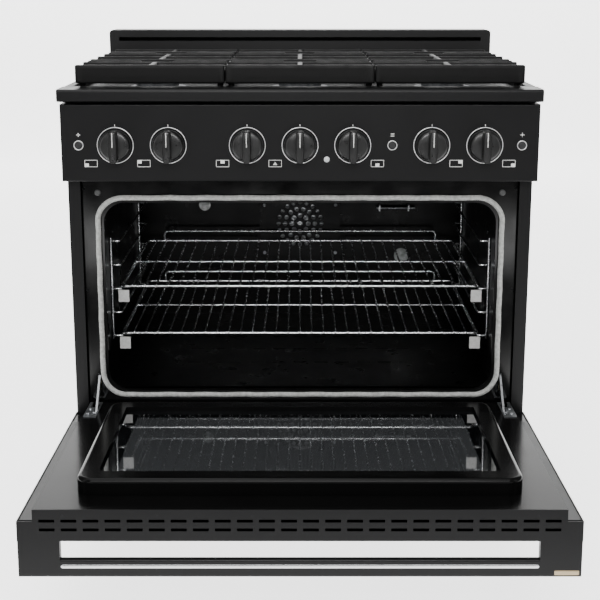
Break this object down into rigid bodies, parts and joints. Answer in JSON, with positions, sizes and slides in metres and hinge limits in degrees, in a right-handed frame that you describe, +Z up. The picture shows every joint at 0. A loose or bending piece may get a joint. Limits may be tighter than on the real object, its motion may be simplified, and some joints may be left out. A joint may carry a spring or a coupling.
{
  "type": "freestanding gas range",
  "caption": "Wide freestanding gas range in black enamel: gas burners under cast grates, knobs on a fascia, and an oven with racks behind a drop-down door.",
  "frame": {"origin": "centre of the footprint of the range with its door open, at floor level", "axes": "+X to the right seen from the front, +Y to the back, +Z up"},
  "size_m": [0.918, 1.1388, 0.998],
  "materials": {
    "black_enamel": "gloss porcelain enamel",
    "black_steel": "satin powder coat",
    "plug_enamel": "semi-gloss enamel",
    "galvanised_steel": "zinc plated",
    "foot_steel": "turned",
    "cast_iron": "matt enamel",
    "cast_aluminium": "cast",
    "chromed_wire": "bright",
    "white_ceramic": "glazed",
    "bezel_chrome": "bright",
    "knob_plastic": "satin moulded",
    "button_plastic": "gloss moulded",
    "lamp_lens": "clear",
    "oven_glass": "tinted",
    "gasket_weave": "woven glass fibre",
    "bumper_rubber": "moulded",
    "glass_wool": "felted",
    "fan_steel": "heat tinted"
  },
  "bodies": {
    "cabinet": {"back_panel": "galvanised_steel", "backguard": "black_steel", "bake_burner": "fan_steel", "base_frame": "galvanised_steel", "broil_burner": "fan_steel", "bullnose": "black_steel", "burner_bases": "cast_aluminium", "burner_caps": "cast_iron", "control_bezels": "bezel_chrome", "control_panel": "black_steel", "cooktop_deck": "black_enamel", "door_bumpers": "bumper_rubber", "door_gasket": "gasket_weave", "fan_cover": "black_enamel", "fan_motor": "fan_steel", "front_frame": "black_enamel", "gas_manifold": "galvanised_steel", "gas_valves": "cast_aluminium", "hinge_receivers": "galvanised_steel", "indicator_lamp": "lamp_lens", "kick_panel": "black_steel", "ladder_clips": "white_ceramic", "ladder_racks": "chromed_wire", "lamp_lenses": "lamp_lens", "oven_floor": "black_enamel", "oven_insulation": "glass_wool", "oven_liner": "black_enamel", "side_panel_left": "black_steel", "side_panel_right": "black_steel", "temperature_sensor": "galvanised_steel"},
    "door": {"door_outer_panel": "black_steel", "door_inner_panel": "black_enamel", "plug_frame": "plug_enamel", "door_glass_inner": "oven_glass", "door_glass_outer": "oven_glass", "door_top_trim": "black_steel", "handle": "black_steel", "hinge_plates": "galvanised_steel"},
    "hinge_arm_left": {"hinge_arm_left": "galvanised_steel"},
    "hinge_arm_right": {"hinge_arm_right": "galvanised_steel"},
    "rack_upper": {"rack_upper": "chromed_wire"},
    "rack_lower": {"rack_lower": "chromed_wire"},
    "grate_left": {"grate_left": "cast_iron"},
    "grate_centre": {"grate_centre": "cast_iron"},
    "grate_right": {"grate_right": "cast_iron"},
    "convection_fan": {"convection_fan": "fan_steel"},
    "knob_left_front": {"knob_left_front": "knob_plastic"},
    "knob_left_rear": {"knob_left_rear": "knob_plastic"},
    "knob_centre_rear": {"knob_centre_rear": "knob_plastic"},
    "knob_oven": {"knob_oven": "knob_plastic"},
    "knob_centre_front": {"knob_centre_front": "knob_plastic"},
    "knob_right_rear": {"knob_right_rear": "knob_plastic"},
    "knob_right_front": {"knob_right_front": "knob_plastic"},
    "button_fan": {"button_fan": "button_plastic"},
    "button_accent": {"button_accent": "button_plastic"},
    "button_light": {"button_light": "button_plastic"},
    "foot_front_left": {"foot_front_left": "foot_steel"},
    "foot_front_right": {"foot_front_right": "foot_steel"},
    "foot_rear_left": {"foot_rear_left": "foot_steel"},
    "foot_rear_right": {"foot_rear_right": "foot_steel"}
  },
  "joints": [
    {"name": "door_hinge", "type": "hinge", "parent": "cabinet", "child": "door", "pos_m": [0, -0.08977, 0.255], "axis": [-1, 0, 0], "range_deg": [0, 88.5]},
    {"name": "hinge_arm_left_swing", "type": "hinge", "parent": "cabinet", "child": "hinge_arm_left", "pos_m": [-0.408, -0.04777, 0.329], "axis": [1, 0, 0], "range_deg": [0, 12]},
    {"name": "hinge_arm_right_swing", "type": "hinge", "parent": "cabinet", "child": "hinge_arm_right", "pos_m": [0.408, -0.04777, 0.329], "axis": [1, 0, 0], "range_deg": [0, 12]},
    {"name": "rack_upper_slide", "type": "slide", "parent": "cabinet", "child": "rack_upper", "axis": [0, 1, 0], "range_m": [-0.3, 0]},
    {"name": "rack_lower_slide", "type": "slide", "parent": "cabinet", "child": "rack_lower", "axis": [0, 1, 0], "range_m": [-0.3, 0]},
    {"name": "convection_fan_spin", "type": "hinge", "parent": "cabinet", "child": "convection_fan", "pos_m": [0, 0.45023, 0.536], "axis": [0, 1, 0], "continuous": true},
    {"name": "grate_left_lift", "type": "slide", "parent": "cabinet", "child": "grate_left", "axis": [0, 0, 1], "range_m": [0, 0.08]},
    {"name": "grate_centre_lift", "type": "slide", "parent": "cabinet", "child": "grate_centre", "axis": [0, 0, 1], "range_m": [0, 0.08]},
    {"name": "grate_right_lift", "type": "slide", "parent": "cabinet", "child": "grate_right", "axis": [0, 0, 1], "range_m": [0, 0.08]},
    {"name": "knob_left_front_turn", "type": "hinge", "parent": "cabinet", "child": "knob_left_front", "pos_m": [-0.352, -0.11977, 0.807], "axis": [0, 1, 0], "range_deg": [-270, 0]},
    {"name": "knob_left_rear_turn", "type": "hinge", "parent": "cabinet", "child": "knob_left_rear", "pos_m": [-0.251, -0.11977, 0.807], "axis": [0, 1, 0], "range_deg": [-270, 0]},
    {"name": "knob_centre_rear_turn", "type": "hinge", "parent": "cabinet", "child": "knob_centre_rear", "pos_m": [-0.1005, -0.11977, 0.807], "axis": [0, 1, 0], "range_deg": [-270, 0]},
    {"name": "knob_oven_turn", "type": "hinge", "parent": "cabinet", "child": "knob_oven", "pos_m": [0, -0.11977, 0.807], "axis": [0, 1, 0], "range_deg": [-300, 0]},
    {"name": "knob_centre_front_turn", "type": "hinge", "parent": "cabinet", "child": "knob_centre_front", "pos_m": [0.1005, -0.11977, 0.807], "axis": [0, 1, 0], "range_deg": [-270, 0]},
    {"name": "knob_right_rear_turn", "type": "hinge", "parent": "cabinet", "child": "knob_right_rear", "pos_m": [0.251, -0.11977, 0.807], "axis": [0, 1, 0], "range_deg": [-270, 0]},
    {"name": "knob_right_front_turn", "type": "hinge", "parent": "cabinet", "child": "knob_right_front", "pos_m": [0.352, -0.11977, 0.807], "axis": [0, 1, 0], "range_deg": [-270, 0]},
    {"name": "button_fan_press", "type": "slide", "parent": "cabinet", "child": "button_fan", "axis": [0, 1, 0], "range_m": [0, 0.0025], "stiffness_N_per_m": 400},
    {"name": "button_accent_press", "type": "slide", "parent": "cabinet", "child": "button_accent", "axis": [0, 1, 0], "range_m": [0, 0.0025], "stiffness_N_per_m": 400},
    {"name": "button_light_press", "type": "slide", "parent": "cabinet", "child": "button_light", "axis": [0, 1, 0], "range_m": [0, 0.0025], "stiffness_N_per_m": 400},
    {"name": "foot_front_left_adjust", "type": "slide", "parent": "cabinet", "child": "foot_front_left", "axis": [0, 0, -1], "range_m": [0, 0.03]},
    {"name": "foot_front_right_adjust", "type": "slide", "parent": "cabinet", "child": "foot_front_right", "axis": [0, 0, -1], "range_m": [0, 0.03]},
    {"name": "foot_rear_left_adjust", "type": "slide", "parent": "cabinet", "child": "foot_rear_left", "axis": [0, 0, -1], "range_m": [0, 0.03]},
    {"name": "foot_rear_right_adjust", "type": "slide", "parent": "cabinet", "child": "foot_rear_right", "axis": [0, 0, -1], "range_m": [0, 0.03]}
  ],
  "couplings": [
    {"joint": "hinge_arm_left_swing", "follows": "door_hinge", "ratio": 0.13333},
    {"joint": "hinge_arm_right_swing", "follows": "door_hinge", "ratio": 0.13333}
  ]
}
